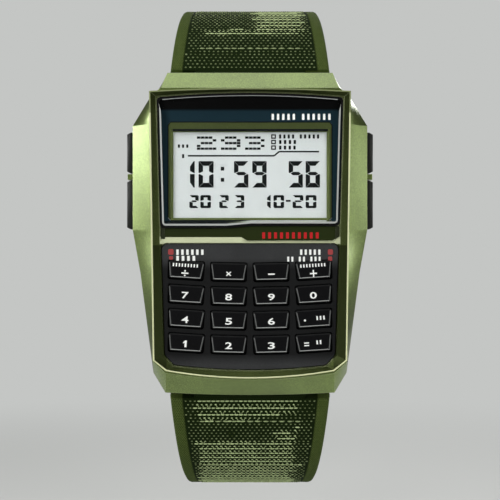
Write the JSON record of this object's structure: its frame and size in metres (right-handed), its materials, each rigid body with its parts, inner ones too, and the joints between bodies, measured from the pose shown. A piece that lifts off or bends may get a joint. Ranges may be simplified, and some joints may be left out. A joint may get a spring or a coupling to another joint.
{
  "type": "digital calculator watch",
  "caption": "Rectangular digital watch with a keypad under its display, side buttons and an unfastened two-piece woven strap that curves back behind it.",
  "frame": {"origin": "centre of the case back's flat outer face, which rests on the wrist", "axes": "dial faces -Y, 12 o'clock is +Z, +X is to the right for someone reading the dial"},
  "size_m": [0.037, 0.1002, 0.0808],
  "materials": {
    "olive_paint": "satin metallic olive paint over a cast case",
    "border_paint": "satin olive paint",
    "crystal_glass": "clear and polished",
    "seal_rubber": "black",
    "mask_ink": "dark blue-black, seen through the crystal",
    "lcd": "pale grey display with dark segments",
    "light_plastic": "white light guide",
    "board": "green circuit board",
    "chip_plastic": "black",
    "frame_plastic": "black moulding",
    "steel": "brushed stainless steel",
    "brass": "bare brass",
    "key_plastic": "black, matt, white printed signs",
    "plate_plastic": "dark grey, fine satin",
    "button_black": "black, satin",
    "webbing": "woven green textile with lighter camouflage streaks",
    "buckle_paint": "satin olive paint",
    "keeper_webbing": "woven green textile"
  },
  "bodies": {
    "case": {"case_shell": "olive_paint", "bezel_frame": "olive_paint", "crystal": "crystal_glass", "crystal_gasket": "seal_rubber", "display_mask": "mask_ink", "window_frame": "border_paint", "lcd_glass": "lcd", "backlight_panel": "light_plastic", "zebra_strips": "seal_rubber", "circuit_board": "board", "board_parts": "chip_plastic", "module_frame": "frame_plastic", "coin_battery": "steel", "battery_clamp": "steel", "buzzer_disc": "brass", "buzzer_spring": "steel", "key_membrane": "seal_rubber", "case_back_gasket": "seal_rubber", "keypad_plate": "plate_plastic", "case_back": "steel", "case_back_screws": "steel", "spring_bar_upper": "steel", "spring_bar_lower": "steel", "button_spring_left_lower": "steel", "button_spring_left_upper": "steel", "button_spring_right_lower": "steel", "button_spring_right_upper": "steel"},
    "key_divide": {"key_divide": "key_plastic"},
    "key_multiply": {"key_multiply": "key_plastic"},
    "key_minus": {"key_minus": "key_plastic"},
    "key_plus": {"key_plus": "key_plastic"},
    "key_7": {"key_7": "key_plastic"},
    "key_8": {"key_8": "key_plastic"},
    "key_9": {"key_9": "key_plastic"},
    "key_0": {"key_0": "key_plastic"},
    "key_4": {"key_4": "key_plastic"},
    "key_5": {"key_5": "key_plastic"},
    "key_6": {"key_6": "key_plastic"},
    "key_point": {"key_point": "key_plastic"},
    "key_1": {"key_1": "key_plastic"},
    "key_2": {"key_2": "key_plastic"},
    "key_3": {"key_3": "key_plastic"},
    "key_equals": {"key_equals": "key_plastic"},
    "button_left_lower": {"button_left_lower": "button_black", "button_clip_left_lower": "steel"},
    "button_left_upper": {"button_left_upper": "button_black", "button_clip_left_upper": "steel"},
    "button_right_lower": {"button_right_lower": "button_black", "button_clip_right_lower": "steel"},
    "button_right_upper": {"button_right_upper": "button_black", "button_clip_right_upper": "steel"},
    "strap_upper": {"strap_upper": "webbing", "fixed_keeper": "keeper_webbing"},
    "strap_lower": {"strap_lower": "webbing"},
    "buckle": {"buckle_frame": "buckle_paint", "buckle_bar": "steel"},
    "tongue": {"buckle_tongue": "buckle_paint"},
    "free_keeper": {"free_keeper": "keeper_webbing"}
  },
  "joints": [
    {"name": "key_divide_press", "type": "slide", "parent": "case", "child": "key_divide", "axis": [0, 1, 0], "range_m": [0, 0.0005], "stiffness_N_per_m": 400, "springref_m": -0.0003},
    {"name": "key_multiply_press", "type": "slide", "parent": "case", "child": "key_multiply", "axis": [0, 1, 0], "range_m": [0, 0.0005], "stiffness_N_per_m": 400, "springref_m": -0.0003},
    {"name": "key_minus_press", "type": "slide", "parent": "case", "child": "key_minus", "axis": [0, 1, 0], "range_m": [0, 0.0005], "stiffness_N_per_m": 400, "springref_m": -0.0003},
    {"name": "key_plus_press", "type": "slide", "parent": "case", "child": "key_plus", "axis": [0, 1, 0], "range_m": [0, 0.0005], "stiffness_N_per_m": 400, "springref_m": -0.0003},
    {"name": "key_7_press", "type": "slide", "parent": "case", "child": "key_7", "axis": [0, 1, 0], "range_m": [0, 0.0005], "stiffness_N_per_m": 400, "springref_m": -0.0003},
    {"name": "key_8_press", "type": "slide", "parent": "case", "child": "key_8", "axis": [0, 1, 0], "range_m": [0, 0.0005], "stiffness_N_per_m": 400, "springref_m": -0.0003},
    {"name": "key_9_press", "type": "slide", "parent": "case", "child": "key_9", "axis": [0, 1, 0], "range_m": [0, 0.0005], "stiffness_N_per_m": 400, "springref_m": -0.0003},
    {"name": "key_0_press", "type": "slide", "parent": "case", "child": "key_0", "axis": [0, 1, 0], "range_m": [0, 0.0005], "stiffness_N_per_m": 400, "springref_m": -0.0003},
    {"name": "key_4_press", "type": "slide", "parent": "case", "child": "key_4", "axis": [0, 1, 0], "range_m": [0, 0.0005], "stiffness_N_per_m": 400, "springref_m": -0.0003},
    {"name": "key_5_press", "type": "slide", "parent": "case", "child": "key_5", "axis": [0, 1, 0], "range_m": [0, 0.0005], "stiffness_N_per_m": 400, "springref_m": -0.0003},
    {"name": "key_6_press", "type": "slide", "parent": "case", "child": "key_6", "axis": [0, 1, 0], "range_m": [0, 0.0005], "stiffness_N_per_m": 400, "springref_m": -0.0003},
    {"name": "key_point_press", "type": "slide", "parent": "case", "child": "key_point", "axis": [0, 1, 0], "range_m": [0, 0.0005], "stiffness_N_per_m": 400, "springref_m": -0.0003},
    {"name": "key_1_press", "type": "slide", "parent": "case", "child": "key_1", "axis": [0, 1, 0], "range_m": [0, 0.0005], "stiffness_N_per_m": 400, "springref_m": -0.0003},
    {"name": "key_2_press", "type": "slide", "parent": "case", "child": "key_2", "axis": [0, 1, 0], "range_m": [0, 0.0005], "stiffness_N_per_m": 400, "springref_m": -0.0003},
    {"name": "key_3_press", "type": "slide", "parent": "case", "child": "key_3", "axis": [0, 1, 0], "range_m": [0, 0.0005], "stiffness_N_per_m": 400, "springref_m": -0.0003},
    {"name": "key_equals_press", "type": "slide", "parent": "case", "child": "key_equals", "axis": [0, 1, 0], "range_m": [0, 0.0005], "stiffness_N_per_m": 400, "springref_m": -0.0003},
    {"name": "button_left_lower_press", "type": "slide", "parent": "case", "child": "button_left_lower", "axis": [1, 0, 0], "range_m": [0, 0.0005], "stiffness_N_per_m": 500, "springref_m": -0.0003, "deforming": ["button_spring_left_lower"]},
    {"name": "button_left_upper_press", "type": "slide", "parent": "case", "child": "button_left_upper", "axis": [1, 0, 0], "range_m": [0, 0.0005], "stiffness_N_per_m": 500, "springref_m": -0.0003, "deforming": ["button_spring_left_upper"]},
    {"name": "button_right_lower_press", "type": "slide", "parent": "case", "child": "button_right_lower", "axis": [-1, 0, 0], "range_m": [0, 0.0005], "stiffness_N_per_m": 500, "springref_m": -0.0003, "deforming": ["button_spring_right_lower"]},
    {"name": "button_right_upper_press", "type": "slide", "parent": "case", "child": "button_right_upper", "axis": [-1, 0, 0], "range_m": [0, 0.0005], "stiffness_N_per_m": 500, "springref_m": -0.0003, "deforming": ["button_spring_right_upper"]},
    {"name": "strap_upper_hinge", "type": "hinge", "parent": "case", "child": "strap_upper", "pos_m": [0, -0.0034, 0.0219], "axis": [1, 0, 0], "range_deg": [-12, 25]},
    {"name": "strap_lower_hinge", "type": "hinge", "parent": "case", "child": "strap_lower", "pos_m": [0, -0.0034, -0.0219], "axis": [-1, 0, 0], "range_deg": [-10, 25]},
    {"name": "buckle_hinge", "type": "hinge", "parent": "strap_upper", "child": "buckle", "pos_m": [0, 0.05712, 0.02093], "axis": [1, 0, 0], "range_deg": [-30, 75]},
    {"name": "tongue_hinge", "type": "hinge", "parent": "buckle", "child": "tongue", "pos_m": [0, 0.05712, 0.02093], "axis": [1, 0, 0], "range_deg": [0, 80]},
    {"name": "free_keeper_slide", "type": "hinge", "parent": "strap_upper", "child": "free_keeper", "pos_m": [0, 0.01481, -0.02439], "axis": [-1, 0, 0], "range_deg": [-2.7, 7.3]}
  ]
}
